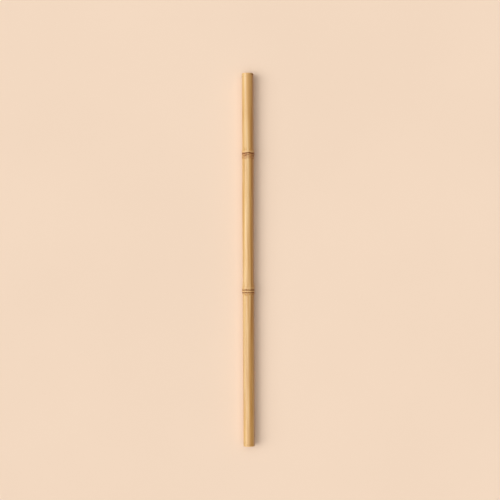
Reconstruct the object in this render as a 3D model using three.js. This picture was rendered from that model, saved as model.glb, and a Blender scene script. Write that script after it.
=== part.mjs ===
// A cut bamboo cane, lying on a flat surface.
//
// Units are millimetres and +Z is up. The cane lies along X: its foot end, the end that was
// lower in the living plant, points to +X, and its tip end points to -X. The origin is on the
// surface, under the middle of the cane's bounding box.
//
// The cane is one piece of grown wood. Two nodes part it into three internodes. Inside, an
// internode is a hollow tube, and at each node a thin wall, the diaphragm, closes the hollow.
// The saw cut the two outer internodes across, so their hollows are open at the ends and run
// in as far as the nearest node. The hollow of the middle internode is sealed all round, and
// is left filled here.

import * as THREE from 'three';

const { lerp, smoothstep } = THREE.MathUtils;

// Driving dimensions. A station is a distance along the cane from the cut face at its foot end.
const LENGTH = 600;
const SIDES = 24;
const WALL = 3.2; // wood round a hollow
const DIAPHRAGM = 3; // wood across a hollow, at a node
const EDGE_ROUND = 0.8; // radius of the sanded outer edge of a cut end

// The skin's radius where no node swells it, as [station, radius].
const BARE_SKIN = [
  [0, 9.1],
  [240, 9.25],
  [262, 9.08],
  [460, 9.5],
  [480, 9.35],
  [LENGTH, 9.6],
];

// The nodes. Each swells by `rise`, and the swelling fades out `above` and `below` the scar
// of the old leaf sheath. On one side, `budSide`, a dormant bud lifts the skin by `bud`.
const NODES = [
  { station: 249, rise: 1.0, above: 18, below: 8, bud: 0.2, budSide: -1 },
  { station: 469, rise: 0.85, above: 12, below: 9, bud: 0.45, budSide: 1 },
];
const CREST = 4; // half the length of a swelling's widest part
const SCAR_GROOVE = { offset: 2.1, depth: 0.3 }; // a groove on each side of the sheath scar
const BUD_SIZE = { above: 1.5, along: 4, around: 0.55 }; // mm, mm and radians

// Stations of a node's rings of vertices, measured from its scar. The closest are the scar
// itself, the bottoms of its two grooves, and the grooves' edges.
const NODE_RINGS = [-9, -7.2, -5.6, -4.2, -3.1, -2.1, -1.1, 0, 1.1, 2.1, 3.1, 4.6, 7.5, 11, 14.5, 19];

// The cane isn't quite straight. [station, sideways to +Y, upwards], from a line that rests
// on both nodes.
const STRAYS = [
  [0, 0, 0.3],
  [90, 0.1, 0.2],
  [249, -0.1, 0],
  [330, -0.35, 0.2],
  [394, -0.2, 0.2],
  [469, 0.1, 0],
  [LENGTH, 0, 0.25],
];

// Value at `station` of a table whose rows start with their own station.
function lookUp(table, station, column) {
  const next = Math.max(1, table.findIndex((row) => row[0] >= station));
  const [a, b] = [table[next - 1], table[next]];
  return lerp(a[column], b[column], (station - a[0]) / (b[0] - a[0]));
}

// How much of a node's swelling is left at `offset` from its scar, from 1 to 0.
function swellingLeft(node, offset) {
  const reach = offset > 0 ? node.above : node.below;
  return 1 - smoothstep(Math.abs(offset), CREST, reach);
}

function skinRadius(station) {
  let radius = lookUp(BARE_SKIN, station, 1);
  for (const node of NODES) {
    const offset = station - node.station;
    radius += node.rise * swellingLeft(node, offset);
    const fromGroove = Math.abs(Math.abs(offset) - SCAR_GROOVE.offset);
    radius -= SCAR_GROOVE.depth * Math.max(0, 1 - fromGroove);
  }
  return radius;
}

// Outline of half the lengthwise section, as (radius, station). It starts on the axis at the
// bottom of the foot end's hollow, goes out over the skin, and ends on the axis at the bottom
// of the tip end's hollow.
function outline() {
  const [lower, upper] = NODES;
  const footDepth = lower.station - DIAPHRAGM / 2;
  const tipDepth = upper.station + DIAPHRAGM / 2;
  const points = [];
  const add = (radius, station) => points.push(new THREE.Vector2(radius, station));
  const addSkin = (station) => add(skinRadius(station), station);

  add(0, footDepth);
  add(skinRadius(footDepth / 2) - WALL, footDepth);
  add(skinRadius(0) - WALL, 0);
  add(skinRadius(0) - EDGE_ROUND, 0);
  add(skinRadius(0) - EDGE_ROUND * (1 - Math.SQRT1_2), EDGE_ROUND * (1 - Math.SQRT1_2));
  addSkin(EDGE_ROUND);
  addSkin(lower.station / 2);
  for (const ring of NODE_RINGS) addSkin(lower.station + ring);
  addSkin((lower.station + upper.station) / 2);
  for (const ring of NODE_RINGS) addSkin(upper.station + ring);
  addSkin((upper.station + LENGTH) / 2);
  addSkin(LENGTH - EDGE_ROUND);
  add(skinRadius(LENGTH) - EDGE_ROUND * (1 - Math.SQRT1_2), LENGTH - EDGE_ROUND * (1 - Math.SQRT1_2));
  add(skinRadius(LENGTH) - EDGE_ROUND, LENGTH);
  add(skinRadius(LENGTH) - WALL, LENGTH);
  add(skinRadius((tipDepth + LENGTH) / 2) - WALL, tipDepth);
  add(0, tipDepth);
  return points;
}

// Height of the cane's axis at `station`, with one facet of each node flat on the surface.
function axisHeight(station) {
  const [lower, upper] = NODES.map((node) => skinRadius(node.station + CREST) * Math.cos(Math.PI / SIDES));
  const along = (station - NODES[0].station) / (NODES[1].station - NODES[0].station);
  return lerp(lower, upper, along) + lookUp(STRAYS, station, 2);
}

// Lift of the skin over the buds, at a point of the skin given by its station and by its
// angle from straight up towards +Y.
function budLift(station, angle) {
  let lift = 0;
  for (const { station: scar, bud, budSide } of NODES) {
    const along = (station - scar - BUD_SIZE.above) / BUD_SIZE.along;
    const around = (angle - budSide * Math.PI / 2) / BUD_SIZE.around;
    lift += bud * Math.exp(-along * along - around * around);
  }
  return lift;
}

// The turned shape, with its axis along +Y and one flat facet facing -Z, is given its buds and
// its strays, and is then laid along X.
function caneGeometry() {
  const geometry = new THREE.LatheGeometry(outline(), SIDES, Math.PI / SIDES);
  const position = geometry.getAttribute('position');
  for (let i = 0; i < position.count; i++) {
    const station = position.getY(i);
    const [x, z] = [position.getX(i), position.getZ(i)];
    const radius = Math.hypot(x, z);
    const onSkin = radius > skinRadius(station) - EDGE_ROUND / 2;
    const scale = onSkin ? 1 + budLift(station, Math.atan2(x, z)) / radius : 1;
    const sideways = lookUp(STRAYS, station, 1);
    position.setXYZ(i, x * scale + sideways, station, z * scale + axisHeight(station));
  }
  geometry.rotateZ(Math.PI / 2);
  geometry.translate(LENGTH / 2, 0, 0);
  return geometry;
}

const wood = new THREE.MeshStandardMaterial({ color: '#d3a768', roughness: 0.45, metalness: 0 });

const cane = new THREE.Mesh(caneGeometry(), wood);
cane.name = 'cane';

// The origin goes under the middle of the cane's box.
const box = new THREE.Box3().setFromObject(cane);
const middle = box.getCenter(new THREE.Vector3());
cane.position.set(-middle.x, -middle.y, -box.min.z);

const part = new THREE.Group();
part.add(cane);

export default part;
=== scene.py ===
"""A cut bamboo cane lying on a pale peach floor, seen from straight above in soft studio light."""
import math

import bpy
import numpy as np
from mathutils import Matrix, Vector


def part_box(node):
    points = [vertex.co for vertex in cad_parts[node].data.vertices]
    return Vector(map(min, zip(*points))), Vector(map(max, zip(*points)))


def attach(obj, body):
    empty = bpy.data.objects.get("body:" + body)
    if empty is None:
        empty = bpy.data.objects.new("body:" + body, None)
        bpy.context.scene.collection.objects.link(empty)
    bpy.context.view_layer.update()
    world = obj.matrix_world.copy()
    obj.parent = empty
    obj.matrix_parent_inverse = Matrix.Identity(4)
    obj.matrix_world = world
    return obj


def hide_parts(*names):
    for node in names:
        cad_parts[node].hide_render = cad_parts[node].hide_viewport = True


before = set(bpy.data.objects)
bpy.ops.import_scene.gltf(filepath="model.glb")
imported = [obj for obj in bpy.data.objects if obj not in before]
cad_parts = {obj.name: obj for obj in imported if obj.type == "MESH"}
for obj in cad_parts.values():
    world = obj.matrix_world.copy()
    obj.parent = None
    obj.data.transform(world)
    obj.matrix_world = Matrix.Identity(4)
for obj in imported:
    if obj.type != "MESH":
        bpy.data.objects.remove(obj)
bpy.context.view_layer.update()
CAD_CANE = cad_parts["cane"]
LOW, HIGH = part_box("cane")

# Shapes are worked out in millimetres and turned into metres where vertices are made. A station
# is a distance along the cane from its foot end, which is at HIGH.x. An angle is measured from
# straight up towards +Y.
MM = 0.001
LENGTH = (HIGH.x - LOW.x) / MM

# The culm. Its wall, diaphragms and sanded edges are as in the CAD. BARE_SKIN is the skin's radius
# where no node swells it, as (station, radius), 0.1 to 0.25 mm inside the corners of the CAD's.
WALL = 3.2
DIAPHRAGM = 3.0
EDGE_ROUND = 0.8
BARE_SKIN = [(0, 9.0), (240, 9.15), (262, 8.98), (460, 9.4), (480, 9.15), (LENGTH, 9.35)]
OUT_OF_ROUND = 0.035  # how far its section strays from round
RIBS = 0.018  # height of its lengthwise ribs

# The nodes. A node swells the skin by `rise`, and the swelling fades out `above` and `below` its
# middle. On one side, `bud_side`, a dormant bud lifts the skin by `bud`. `tint` is how brown the
# node is. Its painted highlights, pale rings painted where its raised parts catch the light, are
# listed by how far each is above the node's middle, how strong it is, and half its width. `lines`
# are the dark grooves round it: how far each is above the middle, its depth, half its width and
# how dark it is. `hump` is where a line rises towards the tip end: how far, and the middle and
# spread of that. `patches` are the middles and spreads of its parts, if it doesn't run all round.
# Both are in degrees. All that is uneven about a node comes from `seed`.
NO_HUMP = (0.0, 0, 30)
ALL_ROUND = []
NODES = [
    {
        "station": 249.5, "rise": 0.9, "above": 18, "below": 7.5, "bud": 0.2, "bud_side": -1,
        "tint": 0.5, "painted_highlight": [(5.3, 0.55, 1.0), (-0.2, 1.0, 0.55)], "seed": 5,
        "lines": [
            {"at": 1.95, "depth": 0.38, "width": 0.9, "dark": 0.8, "hump": NO_HUMP,
             "patches": ALL_ROUND},
            {"at": -2.2, "depth": 0.4, "width": 0.62, "dark": 1.15, "hump": NO_HUMP,
             "patches": ALL_ROUND},
            {"at": -5.2, "depth": 0.1, "width": 0.7, "dark": 0.4, "hump": NO_HUMP,
             "patches": [(12, 14), (50, 16), (160, 40), (-110, 30)]},
        ],
    },
    {
        "station": 469.0, "rise": 0.72, "above": 12, "below": 9, "bud": 0.4, "bud_side": 1,
        "tint": 1.0, "painted_highlight": [(4.9, 0.8, 1.1)], "seed": 11,
        "lines": [
            {"at": 1.6, "depth": 0.42, "width": 0.9, "dark": 1.0, "hump": (1.1, 3, 30),
             "patches": ALL_ROUND},
            {"at": -1.9, "depth": 0.25, "width": 1.1, "dark": 0.6, "hump": (1.6, 4, 24),
             "patches": [(-33, 20), (2, 20), (58, 24), (130, 40), (-130, 35)]},
            {"at": -6.6, "depth": 0.12, "width": 0.8, "dark": 0.45, "hump": NO_HUMP,
             "patches": [(52, 18), (-28, 12), (-150, 30)]},
        ],
    },
]
CREST = 4.0  # half the length of a swelling's widest part
BUD_ABOVE, BUD_ALONG, BUD_AROUND = 1.5, 4.0, 0.55  # mm, mm and radians
SHEATH_RIM = (0.15, 0.9)  # height, and half the width, of the rim of the old leaf sheath
TINT_BELOW = 0.8  # how far the middle of the brown tint is below the node's
TINT_FADE = (2.5, 7.5)  # distances from its middle between which the tint fades
NODE_RIBS = 0.07  # height of the lengthwise ribs on a node
# How far a node's middle, its dark lines and its painted highlight rings stray along the cane.
NODE_WAVER, LINE_WAVER, PAINTED_HIGHLIGHT_WAVER = 0.1, 0.16, 0.15

# Marks left by sanding near the cut ends: where each is, its depth, how dark it is, and the seed
# of its unevenness.
END_RINGS = [
    {"at": 3.0, "depth": 0.07, "dark": 0.3, "seed": 3},
    {"at": 6.1, "depth": 0.07, "dark": 0.3, "seed": 6},
    {"at": LENGTH - 5.6, "depth": 0.08, "dark": 0.4, "seed": 594},
]
END_RING_WIDTH = 0.5  # half of it
SANDED_REACH = 1.1  # how far from a cut face its sanded edge goes

# Painted shade on the rounded edge of the tip end, on the side away from the key light, as a dark
# brown patch: its middle and spread in degrees, how strong it is, how far from the cut face it goes,
# and over how far it fades.
PAINTED_TIP_SHADE = {"middle": 50, "spread": 27, "strength": 0.8, "reach": 2.2, "fade": 1.4}

# Painted sheen and painted shade: one side of the cane, towards the key light, is painted paler, and
# a band on the other side, away from it, is painted browner. For each: its middle, and its spread
# at the foot end and at the tip end, in degrees.
PAINTED_SHEEN_SIDE = (-52, 50, 50)
PAINTED_SHADE_BAND = (63, 22, 32)

AROUND = 144  # vertices round the cane
ANGLES = np.linspace(-math.pi, math.pi, AROUND, endpoint=False)

# Steps between the skin's rings of vertices, and where the closer ones are: up to how far from an
# end, and from where to where past a node's middle.
PLAIN_STEP = 4.0
END_STEP, END_ZONE = 0.4, 9.0
NODE_STEP, NODE_ZONE = 0.36, (-11, 19)
CORNER_RINGS = 7  # rings round a sanded edge, and round the corner of a hollow's bottom


# ------------------------------------------------------------------ shape


def bell(x, width):
    return np.exp(-((x / width) ** 2))


def fall(x, start, end):
    """1 up to start, 0 from end on, and smooth between."""
    t = np.clip((x - start) / (end - start), 0, 1)
    return 1 - t * t * (3 - 2 * t)


def turned(angle, middle):
    """The angle from `middle`, between -pi and pi."""
    return (angle - middle + math.pi) % (2 * math.pi) - math.pi


def beside(angle, middle, spread):
    """1 at `middle`, and less away from it on both sides. Both it and `spread` are in degrees."""
    return bell(turned(angle, np.radians(middle)), np.radians(spread))


def ripple(angle, seed, lobes, drift=0.0, station=0.0):
    """An uneven wave round the cane, about -1 to 1.

    It is a sum of waves: `lobes` are how many times each goes up and down in one turn. Along the
    cane they shift against each other, by about `drift` radians in each mm.
    """
    rng = np.random.default_rng(seed)
    total = 0.0
    for lobe in lobes:
        phase, turn = rng.uniform(0, 2 * math.pi), rng.normal(0, 1)
        total = total + np.cos(lobe * angle + phase + turn * drift * station)
    return total / math.sqrt(len(lobes))


def bare_radius(station):
    stations, radii = zip(*BARE_SKIN)
    return np.interp(station, stations, radii)


def end_rounding(station):
    """How far the sanded edges of the cut ends fall away from the skin, as a negative number."""
    inward = np.minimum(station, LENGTH - station)
    short = np.clip(EDGE_ROUND - inward, 0, EDGE_ROUND)
    return np.sqrt(EDGE_ROUND**2 - short**2) - EDGE_ROUND


def line_strength(line, angle, seed):
    """How strongly a dark line shows at each angle, and how far it strays towards the tip end."""
    strength = 1 + 0.25 * ripple(angle, seed, (2, 5, 9, 14))
    if line["patches"]:
        spots = [beside(angle, middle, spread) for middle, spread in line["patches"]]
        strength = strength * np.clip(sum(spots), 0, 1)
    rise, middle, spread = line["hump"]
    hump = rise * beside(angle, middle, spread)
    waver = LINE_WAVER * ripple(angle, seed + 10, (3, 6, 11, 19))
    return np.clip(strength, 0, 1.4), hump + waver


def node_shape(node, station, angle):
    """A node's lift of the skin, and how strongly its lines, brown tint and painted highlight rings show.
    """
    seed = node["seed"]
    offset = station - node["station"] - NODE_WAVER * ripple(angle, seed, (1, 2, 3, 5))
    reach = np.where(offset > 0, node["above"], node["below"])
    swelling = fall(np.abs(offset), CREST, reach)
    lift = node["rise"] * swelling * (1 + 0.06 * ripple(angle, seed + 1, (2, 3, 5, 7)))
    bud = node["bud"] * bell(offset - BUD_ABOVE, BUD_ALONG)
    lift = lift + bud * bell(turned(angle, node["bud_side"] * math.pi / 2), BUD_AROUND)
    lift = lift + NODE_RIBS * swelling * ripple(angle, seed + 2, (9, 13, 17, 22), 0.35, offset)
    lines = np.zeros_like(lift)
    for number, line in enumerate(node["lines"]):
        strength, stray = line_strength(line, angle, seed + 10 + number)
        groove = bell(offset - line["at"] - stray, line["width"]) * strength
        lift = lift - line["depth"] * groove
        lines = np.maximum(lines, line["dark"] * groove)
    rim_height, rim_width = SHEATH_RIM
    lift = lift + rim_height * bell(offset, rim_width)
    tint = node["tint"] * fall(np.abs(offset + TINT_BELOW), *TINT_FADE)
    tint = tint * (1 + 0.3 * ripple(angle, seed + 3, (4, 7, 12)))
    # Painted highlights: pale rings on the node's raised parts.
    uneven = PAINTED_HIGHLIGHT_WAVER * ripple(angle, seed + 4, (2, 5, 8))
    painted_highlight = sum(strong * bell(offset - above - uneven, width) for above, strong, width in node["painted_highlight"])
    return lift, lines, np.clip(tint, 0, 1), painted_highlight


def ring_strength(ring, station, angle):
    """How strongly a sanding mark shows. It is patchy, and not quite square to the cane."""
    offset = station - ring["at"] - 0.1 * ripple(angle, ring["seed"] + 1, (1, 2, 3))
    patchy = np.clip(0.7 + 0.7 * ripple(angle, ring["seed"], (1, 2, 4, 7)), 0, 1.5)
    return bell(offset, END_RING_WIDTH) * patchy


def painted_tip_shade(station, angle):
    """How strongly the painted shade on the edge of the tip end shows."""
    reach = PAINTED_TIP_SHADE["reach"] + 0.5 * ripple(angle, 33, (3, 5, 9))
    strength = PAINTED_TIP_SHADE["strength"] * beside(angle, PAINTED_TIP_SHADE["middle"], PAINTED_TIP_SHADE["spread"])
    return strength * fall(LENGTH - station, reach, reach + PAINTED_TIP_SHADE["fade"])


def sanded_edges(station, angle):
    """1 on the sanded edges of the cut ends, 0 away from them, with a ragged border between."""
    reach = SANDED_REACH + 0.25 * ripple(angle, 31, (2, 5, 9, 16))
    inward = np.minimum(station, LENGTH - station)
    return fall(inward, reach - 0.6, reach + 0.3)


def side_band(band, station, angle):
    """How strongly a band along one side of the cane shows. It wavers, by two slow waves."""
    middle, foot_spread, tip_spread = band
    spread = foot_spread + (tip_spread - foot_spread) * station / LENGTH
    waver = 5 * np.sin(station / 47 + middle) + 3 * np.sin(station / 19)
    return beside(angle, middle + waver, spread)


# The point attributes that the skin's material reads, in the order that skin() gives them.
MASKS = ("lines", "tint", "painted_highlight", "sanded", "painted_sheen", "painted_shade")


def skin(station, angle):
    """The skin's radius, and how strongly each of MASKS shows."""
    radius = bare_radius(station) + end_rounding(station)
    ribs = RIBS * ripple(angle, 2, (7, 10, 14, 19), 0.004, station)
    radius = radius + OUT_OF_ROUND * ripple(angle, 1, (2, 3)) + ribs
    lines, tint, painted_highlight = (np.zeros_like(radius) for _ in range(3))
    for node in NODES:
        lift, node_lines, node_tint, node_painted_highlight = node_shape(node, station, angle)
        radius = radius + lift
        lines = np.maximum(lines, node_lines)
        tint = np.maximum(tint, node_tint)
        painted_highlight = painted_highlight + node_painted_highlight
    for ring in END_RINGS:
        strength = ring_strength(ring, station, angle)
        radius = radius - ring["depth"] * strength
        lines = np.maximum(lines, ring["dark"] * strength)
    # Painted shade on the tip end's edge goes into the dark lines' mask, so it takes the scars' colour.
    lines = np.maximum(lines, painted_tip_shade(station, angle))
    sanded = sanded_edges(station, angle)
    # Painted sheen on the side towards the key light, and painted shade on a band on the side away from it.
    painted_sheen = side_band(PAINTED_SHEEN_SIDE, station, angle)
    painted_shade = side_band(PAINTED_SHADE_BAND, station, angle)
    return radius, lines, tint, painted_highlight, sanded, painted_sheen, painted_shade


def skin_stations():
    """Stations of the skin's rings of vertices. One is at each place where the map's strips part."""
    stations = [EDGE_ROUND * (1 - math.cos(a)) for a in np.linspace(0, math.pi / 2, CORNER_RINGS)]
    stations += list(np.arange(EDGE_ROUND + END_STEP / 2, END_ZONE, END_STEP))
    stations += list(np.arange(END_ZONE, LENGTH / 2, PLAIN_STEP))
    stations += [LENGTH - s for s in stations]
    for node in NODES:
        first, last = (node["station"] + edge for edge in NODE_ZONE)
        stations = [s for s in stations if not first <= s <= last]
        stations += list(np.arange(first, last, NODE_STEP))
    stations += [LENGTH * k / SKIN_STRIPS for k in range(1, SKIN_STRIPS)]
    return sorted(set(round(s, 4) for s in stations))


def cad_axis():
    """The CAD cane's middle line: its stations, and its places in Y and in Z, all in mm."""
    rings = {}
    for vertex in CAD_CANE.data.vertices:
        rings.setdefault(round((HIGH.x - vertex.co.x) / MM, 2), []).append(vertex.co)
    stations = sorted(rings)
    y, z = (
        [(min(c[k] for c in rings[s]) + max(c[k] for c in rings[s])) / 2 / MM for s in stations]
        for k in (1, 2)
    )
    return stations, y, z


# ------------------------------------------------------------------ mesh

# The surface is a grid: rows of AROUND vertices, from the bottom of the foot end's hollow, out
# over the skin, to the bottom of the tip end's hollow. Each strip between two rows is part of one
# region, and each region has a place on the texture map, in mm of a square sheet. The skin takes
# three bands of it, and the rest shares the last band.
SHEET = 200.0
GAP = 2.0
SKIN_STRIPS = 3
SKIN_HEIGHT = 57.0
LAST_BAND = SKIN_STRIPS * (SKIN_HEIGHT + GAP) + GAP
LAST_HEIGHT = 20.0


def on_disc(middle):
    """Maps a cut face, or the bottom of a hollow, as it is seen end on."""
    def place(station, radius, column):
        angle = 2 * math.pi * column / AROUND
        return middle + radius * math.sin(angle), LAST_BAND + LAST_HEIGHT / 2 + radius * math.cos(angle)
    return place


def on_strip(start, end, left, width, bottom=LAST_BAND, height=LAST_HEIGHT):
    """Maps a length of tube, from station start to end, as a flat strip."""
    def place(station, radius, column):
        return left + width * (station - start) / (end - start), bottom + height * column / AROUND
    return place


def skin_strip(number):
    """Maps one of the equal lengths that the skin is parted into."""
    start, end = (LENGTH / SKIN_STRIPS * k for k in (number, number + 1))
    bottom = GAP / 2 + number * (SKIN_HEIGHT + GAP)
    return on_strip(start, end, left=GAP / 2, width=SHEET - GAP, bottom=bottom, height=SKIN_HEIGHT)


FOOT_DEPTH = NODES[0]["station"] - DIAPHRAGM / 2
TIP_DEPTH = NODES[1]["station"] + DIAPHRAGM / 2
REGIONS = {
    "foot_face": on_disc(middle=10.5),
    "tip_face": on_disc(middle=31.5),
    "foot_bottom": on_disc(middle=50.0),
    "tip_bottom": on_disc(middle=66.0),
    "foot_hollow": on_strip(0, FOOT_DEPTH, left=78, width=70),
    "tip_hollow": on_strip(TIP_DEPTH, LENGTH, left=151, width=48),
}
REGIONS.update({f"skin_{k}": skin_strip(k) for k in range(SKIN_STRIPS)})
# A region's material slot, by the second word of its name. The skin's regions have slot 0.
SLOT_OF = {"face": 1, "hollow": 2, "bottom": 2}

HOLLOW_CORNER = 2.0  # radius of the corner between a hollow's side and its bottom
BOTTOM_DOME = 0.5  # how far a hollow's bottom bulges towards its mouth
SAW_SINK = 0.04  # how far a cut face lies inside its edges
# How rough a hollow's side, a hollow's bottom and a cut face are.
SIDE_ROUGH, BOTTOM_ROUGH, SAW_ROUGH = 0.05, 0.12, 0.024


def hollow_rows(mouth, bottom):
    """Rows from a hollow's mouth to the middle of its bottom, as (region word, stations, radii)."""
    inwards = 1 if bottom > mouth else -1
    depth = abs(bottom - mouth)
    rows = []
    # Down the side, which gets rough just inside the mouth.
    for step in [0.25, 1, 2.5] + list(np.linspace(6, depth - HOLLOW_CORNER - 1, 40)):
        station = mouth + inwards * step
        radius = bare_radius(mouth) - WALL + (bare_radius(bottom) - bare_radius(mouth)) * step / depth
        uneven = SIDE_ROUGH * ripple(ANGLES, 41, (3, 5, 9, 14), 0.02, station)
        rows.append(("hollow", np.full(AROUND, station), radius + uneven * fall(-step, -3, -0.2)))
    # Round the corner.
    side = bare_radius(bottom) - WALL
    for turn in np.linspace(0, math.pi / 2, CORNER_RINGS):
        station = bottom - inwards * HOLLOW_CORNER * (1 - math.sin(turn))
        radius = side - HOLLOW_CORNER * (1 - math.cos(turn))
        rows.append(("hollow", np.full(AROUND, station), np.full(AROUND, radius)))
    # Over the bottom.
    for share in np.linspace(0.9, 0.08, 10):
        uneven = BOTTOM_ROUGH * ripple(ANGLES, 43, (2, 3, 5)) * share * (1 - share) * 4
        dome = BOTTOM_DOME * (1 - share**2) + uneven
        rows.append(("bottom", bottom - inwards * dome, np.full(AROUND, (side - HOLLOW_CORNER) * share)))
    return rows


def face_rows(mouth):
    """Rows of a cut face, from its inner edge to its outer edge, as hollow_rows() gives them."""
    inwards = 1 if mouth < LENGTH / 2 else -1
    inner = bare_radius(mouth) - WALL
    outer = bare_radius(mouth) - EDGE_ROUND
    rows = []
    for share in (0.07, 0.15, 0.3, 0.45, 0.6, 0.75, 0.9):
        sink = SAW_SINK + SAW_ROUGH * ripple(ANGLES, 51 + int(20 * share), (2, 6, 11, 23))
        radius = inner + (outer - inner) * share
        rows.append(("face", mouth + inwards * sink, np.full(AROUND, radius)))
    return rows


def cane_rows():
    """All rows of the grid, as [region of the strip that follows, stations, radii, masks]."""
    rows = []
    plain = [np.zeros(AROUND)] * len(MASKS)
    for word, station, radius in reversed(hollow_rows(0, FOOT_DEPTH)):
        rows.append(["foot_" + word, station, radius, plain])
    for word, station, radius in face_rows(0):
        rows.append(["foot_" + word, station, radius, plain])
    for station in skin_stations():
        radius, *masks = skin(np.full(AROUND, station), ANGLES)
        strip = min(int(station / LENGTH * SKIN_STRIPS), SKIN_STRIPS - 1)
        rows.append([f"skin_{strip}", np.full(AROUND, station), radius, masks])
    rows[-1][0] = "tip_face"
    for word, station, radius in reversed(face_rows(LENGTH)):
        rows.append(["tip_" + word, station, radius, plain])
    rows[-1][0] = "tip_hollow"
    for word, station, radius in hollow_rows(LENGTH, TIP_DEPTH):
        rows.append(["tip_" + word, station, radius, plain])
    return rows


def row_points(stations, radii, axis):
    """A row's points, in metres, round the cane's middle line."""
    side = np.interp(stations, axis[0], axis[1]) + radii * np.sin(ANGLES)
    height = np.interp(stations, axis[0], axis[2]) + radii * np.cos(ANGLES)
    return np.column_stack([HIGH.x / MM - stations, side, height]) * MM


def grid_faces(rows):
    """The surface's faces, their corners' places on the map, and their material slots.

    After the rows' vertices come the two in the middle of the hollows' bottoms, the foot end's first.
    """
    faces, map_places, slots = [], [], []

    def add(region, corners):
        """Adds a face whose corners are (vertex, station, radius, column)."""
        faces.append([corner[0] for corner in corners])
        map_places.extend(REGIONS[region](*corner[1:]) for corner in corners)
        slots.append(SLOT_OF.get(region.split("_")[1], 0))

    def corner(row, column):
        j = column % AROUND
        return row * AROUND + j, rows[row][1][j], rows[row][2][j], column

    for i in range(len(rows) - 1):
        for column in range(AROUND):
            near = [corner(i, column), corner(i, column + 1)]
            far = [corner(i + 1, column + 1), corner(i + 1, column)]
            add(rows[i][0], near + far)
    middle = len(rows) * AROUND
    last = len(rows) - 1
    for column in range(AROUND):
        centre = (middle, rows[0][1][0], 0.0, column)
        add("foot_bottom", [corner(0, column + 1), corner(0, column), centre])
    for column in range(AROUND):
        centre = (middle + 1, rows[last][1][0], 0.0, column)
        add("tip_bottom", [corner(last, column), corner(last, column + 1), centre])
    return faces, map_places, slots


def make_cane(materials):
    """The whole surface as one mesh, with its map and masks. `materials` go by SLOT_OF's numbers."""
    rows, axis = cane_rows(), cad_axis()
    points = [row_points(row[1], row[2], axis) for row in rows]
    middles = [points[0].mean(0), points[-1].mean(0)]
    vertices = np.vstack(points + middles)
    vertices[:, 2] -= vertices[:, 2].min()  # it rests on the floor
    faces, map_places, slots = grid_faces(rows)

    mesh = bpy.data.meshes.new("cane_culm")
    mesh.from_pydata(vertices.tolist(), [], faces)
    uv = mesh.uv_layers.new(name="OFBake")
    uv.data.foreach_set("uv", (np.array(map_places) / SHEET).ravel())
    mesh.polygons.foreach_set("material_index", slots)
    mesh.polygons.foreach_set("use_smooth", [True] * len(faces))
    for number, name in enumerate(MASKS):
        mask = np.concatenate([row[3][number] for row in rows] + [np.zeros(len(middles))])
        mesh.attributes.new(name, "FLOAT", "POINT").data.foreach_set("value", mask)
    for material in materials:
        mesh.materials.append(material)
    mesh.update()
    cane = bpy.data.objects.new("cane_culm", mesh)
    bpy.context.scene.collection.objects.link(cane)
    return cane


# ------------------------------------------------------------------ materials


class Nodes:
    """A material's node tree, with a short call for each kind of node."""

    def __init__(self, name):
        self.material = bpy.data.materials.new(name)
        self.material.use_nodes = True
        self.tree = self.material.node_tree
        self.shader = self.tree.nodes["Principled BSDF"]
        self.place = self.tree.nodes.new("ShaderNodeTexCoord").outputs["Object"]

    def set(self, socket, value):
        """Links the socket to `value` if that is another socket, or gives it that value."""
        if isinstance(value, bpy.types.NodeSocket):
            self.tree.links.new(value, socket)
        else:
            socket.default_value = value

    def add(self, kind, inputs=(), **settings):
        node = self.tree.nodes.new("ShaderNode" + kind)
        for name, value in settings.items():
            setattr(node, name, value)
        for key, value in dict(inputs).items():
            self.set(node.inputs[key], value)
        return node

    def stretched(self, along, around, shift):
        """The place on the cane, in features: `along` and `around` are their sizes in mm."""
        scale = (1 / (along * MM), 1 / (around * MM), 1 / (around * MM))
        inputs = {"Vector": self.place, "Location": (shift,) * 3, "Scale": scale}
        return self.add("Mapping", inputs).outputs[0]

    def noise(self, along, around, shift, detail=2.0, roughness=0.5):
        """Noise stretched along the cane. Each `shift` gives another pattern."""
        place = self.stretched(along, around, shift)
        inputs = {"Vector": place, "Scale": 1.0, "Detail": detail, "Roughness": roughness}
        return self.add("TexNoise", inputs).outputs["Fac"]

    def even_noise(self, scale, detail):
        """Noise of the same size every way, for the floor."""
        inputs = {"Vector": self.place, "Scale": scale, "Detail": detail}
        return self.add("TexNoise", inputs).outputs["Fac"]

    def from_dots(self, spacing, shift):
        """How far the nearest of the dots scattered over a cut face is, in spacings."""
        inputs = {"Vector": self.stretched(6, spacing, shift), "Scale": 1.0}
        return self.add("TexVoronoi", inputs).outputs["Distance"]

    def between(self, value, low, high, out_low=0.0, out_high=1.0):
        """Goes smoothly from out_low to out_high while `value` goes from low to high."""
        inputs = {0: value, 1: low, 2: high, 3: out_low, 4: out_high}
        return self.add("MapRange", inputs, interpolation_type="SMOOTHSTEP").outputs[0]

    def math(self, operation, a, b=0.0, clamp=False):
        return self.add("Math", {0: a, 1: b}, operation=operation, use_clamp=clamp).outputs[0]

    def times(self, a, b):
        return self.math("MULTIPLY", a, b)

    def mix(self, factor, a, b, blend="MIX"):
        node = self.add("Mix", data_type="RGBA", blend_type=blend)
        for key, value in (("Factor_Float", factor), ("A_Color", a), ("B_Color", b)):
            self.set(next(s for s in node.inputs if s.identifier == key), value)
        return next(s for s in node.outputs if s.identifier == "Result_Color")

    def mask(self, name):
        return self.add("Attribute", attribute_name=name).outputs["Fac"]

    def finish(self, colour, roughness, bumps):
        """Links the shader. `bumps` are (height, depth in mm, strength), the coarsest first."""
        self.set(self.shader.inputs["Base Color"], colour)
        self.set(self.shader.inputs["Roughness"], roughness)
        normal = None
        for height, depth, strength in bumps:
            bump = self.add("Bump", {"Height": height, "Distance": depth * MM, "Strength": strength})
            if normal:
                self.set(bump.inputs["Normal"], normal)
            normal = bump.outputs[0]
        self.set(self.shader.inputs["Normal"], normal)
        return self.material


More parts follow.
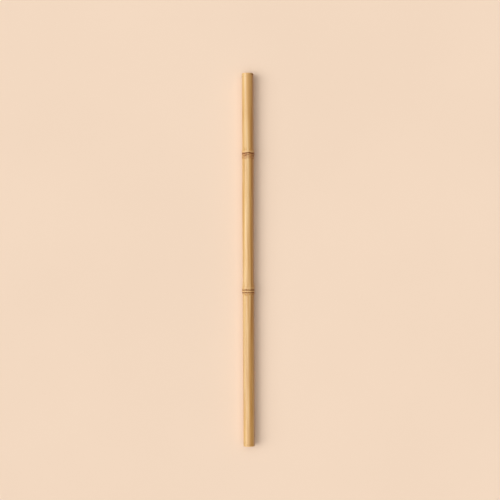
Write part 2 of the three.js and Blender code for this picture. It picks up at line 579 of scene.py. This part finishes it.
def rgb(red, green, blue):
    """A colour given as it shows on a screen, 0 to 255."""
    return tuple(((c / 255 + 0.055) / 1.055) ** 2.4 for c in (red, green, blue)) + (1.0,)


STRAW = rgb(213, 165, 88)
GOLD = rgb(201, 149, 68)
HONEY = rgb(176, 120, 47)
PALE = rgb(222, 184, 122)
# A painted sheen, paler, for the side towards the key light, and a painted shade, browner, for the band
# away from it.
PAINTED_SHEEN_TINT = (1.03, 1.2, 1.6, 1.0)  # this and the next multiply the skin's colour
PAINTED_SHADE_TINT = (0.77, 0.64, 0.38, 1.0)
NODE_TAN = rgb(158, 98, 40)
# The scars' colour, which also paints shade on the tip end's edge.
SCAR_AND_PAINTED_TIP_SHADE = rgb(112, 54, 6)
FLECK = rgb(120, 80, 38)
SANDED = rgb(222, 180, 118)
CUT_WOOD = rgb(219, 183, 130)
CUT_WOOD_BROWNER = rgb(206, 166, 110)
CUT_DARK = rgb(120, 80, 42)
PITH = rgb(226, 202, 158)
PITH_BROWNER = rgb(204, 170, 118)
PITH_STAIN = rgb(170, 130, 84)
FLOOR = rgb(235, 213, 193)
FLOOR_DARKER = rgb(233, 211, 191)
SKIN_COAT = 0.9  # how much of the skin's waxy coat there is, away from the scars
SKIN_COAT_ROUGHNESS = 0.36

# The cut ends. The fibres get denser, and the wood browner, between two distances from the middle,
# in metres. The saw marks lean by SAW_TILT, in radians, and SAW_SCALE is how many there are in a
# metre along X, Y and Z.
FOOT_CENTRE_Z = cad_axis()[2][0] * MM
DENSER = (6.8 * MM, 8.6 * MM)
BROWNER = (8.5 * MM, 9.3 * MM)
SAW_TILT = 0.5
SAW_SCALE = (100, 260, 4200)


def skin_material():
    """Glossy straw-coloured skin, streaked lengthwise, with brown nodes and dark, dull scars; also painted
    sheen, shade and highlights.
    """
    n = Nodes("bamboo_skin")
    broad = n.between(n.noise(along=150, around=9, shift=3.1), 0.35, 0.65)
    streaks = n.between(n.noise(along=90, around=1.7, shift=7.7, detail=3, roughness=0.6), 0.36, 0.66)
    fibres = n.noise(along=45, around=0.42, shift=1.3, roughness=0.6)
    colour = n.mix(broad, STRAW, GOLD)
    colour = n.mix(n.times(streaks, 0.7), colour, HONEY)
    bands = n.noise(along=260, around=2.6, shift=31.7, roughness=0.6)
    colour = n.mix(n.between(bands, 0.52, 0.66, 0.0, 0.5), colour, HONEY)
    colour = n.mix(n.between(bands, 0.5, 0.36, 0.0, 0.6), colour, PALE)
    light = n.between(n.noise(along=120, around=2.4, shift=12.9), 0.52, 0.68)
    colour = n.mix(n.times(light, 0.65), colour, PALE)
    colour = n.mix(n.between(fibres, 0.35, 0.62, 0.0, 0.22), colour, HONEY)
    flecks = n.between(n.noise(along=2.6, around=0.55, shift=20.3, detail=1), 0.735, 0.78)
    rare = n.between(n.noise(along=30, around=12, shift=5.2, detail=1), 0.45, 0.6)
    colour = n.mix(n.times(n.times(flecks, rare), 0.6), colour, FLECK)
    # Painted sheen on the side towards the key light, and painted shade on the side away from it.
    colour = n.mix(n.mask("painted_sheen"), colour, PAINTED_SHEEN_TINT, "MULTIPLY")
    colour = n.mix(n.mask("painted_shade"), colour, PAINTED_SHADE_TINT, "MULTIPLY")
    # Nodes: a brown, mottled tint, pale rings painted as highlights, and the dark lines of the scars.
    mottle = n.noise(along=1.6, around=1.9, shift=9.4, detail=3, roughness=0.65)
    tint = n.times(n.mask("tint"), n.between(mottle, 0.36, 0.62, 0.25, 1.0))
    colour = n.mix(n.times(tint, 0.85), colour, NODE_TAN)
    ragged = n.between(n.noise(along=0.9, around=0.7, shift=2.2), 0.3, 0.6, 0.55, 1.0)
    scar_and_painted_tip_shade = n.times(n.mask("lines"), ragged)
    # Painted highlights on the nodes, as pale rings.
    colour = n.mix(n.times(n.mask("painted_highlight"), 0.8), colour, PALE)
    # Dark scars, and painted shade on the tip end's edge.
    colour = n.mix(n.between(scar_and_painted_tip_shade, 0.06, 0.75), colour, SCAR_AND_PAINTED_TIP_SHADE)
    colour = n.mix(n.mask("sanded"), colour, SANDED)
    roughness = n.between(n.noise(along=40, around=1.2, shift=4.4), 0.3, 0.7, 0.4, 0.54)
    roughness = n.math("ADD", roughness, n.times(scar_and_painted_tip_shade, 0.5))
    roughness = n.math("ADD", roughness, n.times(n.mask("sanded"), 0.25))
    coat = n.math("SUBTRACT", SKIN_COAT, n.times(scar_and_painted_tip_shade, 1.2), clamp=True)
    n.set(n.shader.inputs["Coat Weight"], coat)
    n.set(n.shader.inputs["Coat Roughness"], SKIN_COAT_ROUGHNESS)
    n.set(n.shader.inputs["Specular IOR Level"], 0.5)
    grain = n.noise(along=30, around=0.5, shift=6.0, detail=3, roughness=0.6)
    pores = n.noise(along=0.6, around=0.5, shift=8.0)
    return n.finish(colour, roughness, [(grain, 0.05, 0.5), (n.times(pores, tint), 0.12, 0.6)])


def cut_material():
    """End grain: pale wood with dark bundles of fibres, denser towards the skin, and saw marks."""
    n = Nodes("bamboo_end_grain")
    sparse = n.from_dots(spacing=1, shift=1.0)
    dense = n.from_dots(spacing=0.55, shift=4.0)
    split = n.add("SeparateXYZ", {0: n.place})
    above = n.math("SUBTRACT", split.outputs[2], FOOT_CENTRE_Z)
    out = n.math("SQRT", n.math("ADD", n.math("POWER", split.outputs[1], 2.0), n.math("POWER", above, 2.0)))
    dots = n.mix(n.between(out, *DENSER), n.between(sparse, 0.32, 0.2), n.between(dense, 0.42, 0.25))
    mottle = n.between(n.noise(along=3, around=0.8, shift=3.0, detail=3), 0.35, 0.65)
    colour = n.mix(mottle, CUT_WOOD, CUT_WOOD_BROWNER)
    colour = n.mix(n.times(dots, 0.7), colour, CUT_DARK)
    colour = n.mix(n.between(out, *BROWNER, 0.0, 0.55), colour, HONEY)
    across = n.add("Mapping", {"Vector": n.place, "Rotation": (SAW_TILT, 0, 0), "Scale": SAW_SCALE})
    saw = n.add("TexNoise", {"Vector": across.outputs[0], "Scale": 1.0, "Detail": 2.0}).outputs["Fac"]
    roughness = n.between(saw, 0.3, 0.7, 0.62, 0.8)
    return n.finish(colour, roughness, [(saw, 0.1, 0.6), (dots, 0.06, 0.5)])


def hollow_material():
    """The inside of the hollow: pale, papery and streaked lengthwise."""
    n = Nodes("bamboo_hollow")
    streaks = n.between(n.noise(along=40, around=0.9, shift=2.0, detail=3), 0.35, 0.65)
    colour = n.mix(streaks, PITH, PITH_BROWNER)
    patches = n.between(n.noise(along=9, around=4, shift=6.0), 0.55, 0.75, 0.0, 0.5)
    colour = n.mix(patches, colour, PITH_STAIN)
    roughness = n.between(streaks, 0.0, 1.0, 0.75, 0.9)
    fibres = n.noise(along=25, around=0.4, shift=5.0, detail=3)
    return n.finish(colour, roughness, [(fibres, 0.1, 0.6)])


def floor_material():
    n = Nodes("pale_floor")
    mottle = n.even_noise(scale=3.0, detail=3.0)
    colour = n.mix(n.between(mottle, 0.3, 0.7), FLOOR, FLOOR_DARKER)
    grain = n.even_noise(scale=900.0, detail=2.0)
    roughness = n.between(mottle, 0.3, 0.7, 0.9, 0.95)
    n.set(n.shader.inputs["Specular IOR Level"], 0.2)
    return n.finish(colour, roughness, [(grain, 0.05, 0.1)])


# ------------------------------------------------------------------ studio

FLOOR_RADIUS = 14  # in metres

# Lamps: how far each leans to the picture's left and towards its top, and how broad it is, all in
# degrees, how strong it is, and its colour.
KEY = {"left": 47, "up": -3, "spread": 48, "strength": 1.9, "colour": (1.0, 0.97, 0.93)}
FILL = {"left": 10, "up": 0, "spread": 100, "strength": 1.85, "colour": (1.0, 0.97, 0.93)}

# The sky goes from the colour that the floor has in the picture to SKY. Both heights are sines of
# the angle above the horizon.
FLOOR_LOOK = rgb(243, 217, 193)
SKY = (0.08, 0.077, 0.075, 1.0)
HORIZON_UP_TO, SKY_FROM = 0.0, 0.25

# The camera. Its height, and the width of what it shows at the cane, are in lengths of the cane.
# It stands a little towards the tip end and towards +Y, in metres, and is turned a little, in
# degrees, so that the cane leans to the picture's left.
CAMERA_HEIGHT = 3
FRAME_WIDTH = 1.350
CAMERA_X, CAMERA_Y = -0.0157, 0.0026
LEAN = 0.23
SENSOR = 36  # width of its sensor, in mm


def make_floor():
    bpy.ops.mesh.primitive_circle_add(vertices=64, radius=FLOOR_RADIUS, fill_type="NGON")
    floor = bpy.context.object
    floor.name = "floor"
    floor.data.materials.append(floor_material())


def make_sun(name, left, up, spread, strength, colour):
    """A broad, even light, which shines from `left` and `up` degrees off straight above."""
    light = bpy.data.lights.new(name, "SUN")
    light.angle = math.radians(spread)
    light.energy = strength
    light.color = colour
    lamp = bpy.data.objects.new(name, light)
    towards_lamp = Vector((-math.tan(math.radians(up)), -math.tan(math.radians(left)), 1))
    lamp.rotation_euler = towards_lamp.to_track_quat("Z", "Y").to_euler()
    bpy.context.scene.collection.objects.link(lamp)


def make_studio():
    """A broad key light from the left, a fill from above, and a sky that meets the floor in its colour."""
    scene = bpy.context.scene
    scene.view_settings.view_transform = "Standard"
    world = bpy.data.worlds.new("studio")
    world.use_nodes = True
    tree = world.node_tree
    split = tree.nodes.new("ShaderNodeSeparateXYZ")
    tree.links.new(tree.nodes.new("ShaderNodeTexCoord").outputs["Generated"], split.inputs[0])
    ramp = tree.nodes.new("ShaderNodeValToRGB")
    horizon, sky = ramp.color_ramp.elements
    horizon.position, horizon.color = HORIZON_UP_TO, FLOOR_LOOK
    sky.position, sky.color = SKY_FROM, SKY
    tree.links.new(split.outputs["Z"], ramp.inputs[0])
    tree.links.new(ramp.outputs[0], tree.nodes["Background"].inputs[0])
    scene.world = world
    make_sun("key", **KEY)
    make_sun("fill", **FILL)


def make_camera():
    """Looks straight down on the cane, with the tip end up in the picture."""
    length = HIGH.x - LOW.x
    height = CAMERA_HEIGHT * length
    data = bpy.data.cameras.new("camera")
    data.sensor_width = SENSOR
    data.lens = SENSOR * height / (FRAME_WIDTH * length)
    camera = bpy.data.objects.new("camera", data)
    camera.location = (CAMERA_X, CAMERA_Y, height)
    camera.rotation_euler = (0, 0, math.pi / 2 - math.radians(LEAN))
    bpy.context.scene.collection.objects.link(camera)
    bpy.context.scene.camera = camera


make_camera()
make_studio()
make_floor()
cane = make_cane([skin_material(), cut_material(), hollow_material()])
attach(cane, "root")
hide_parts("cane")
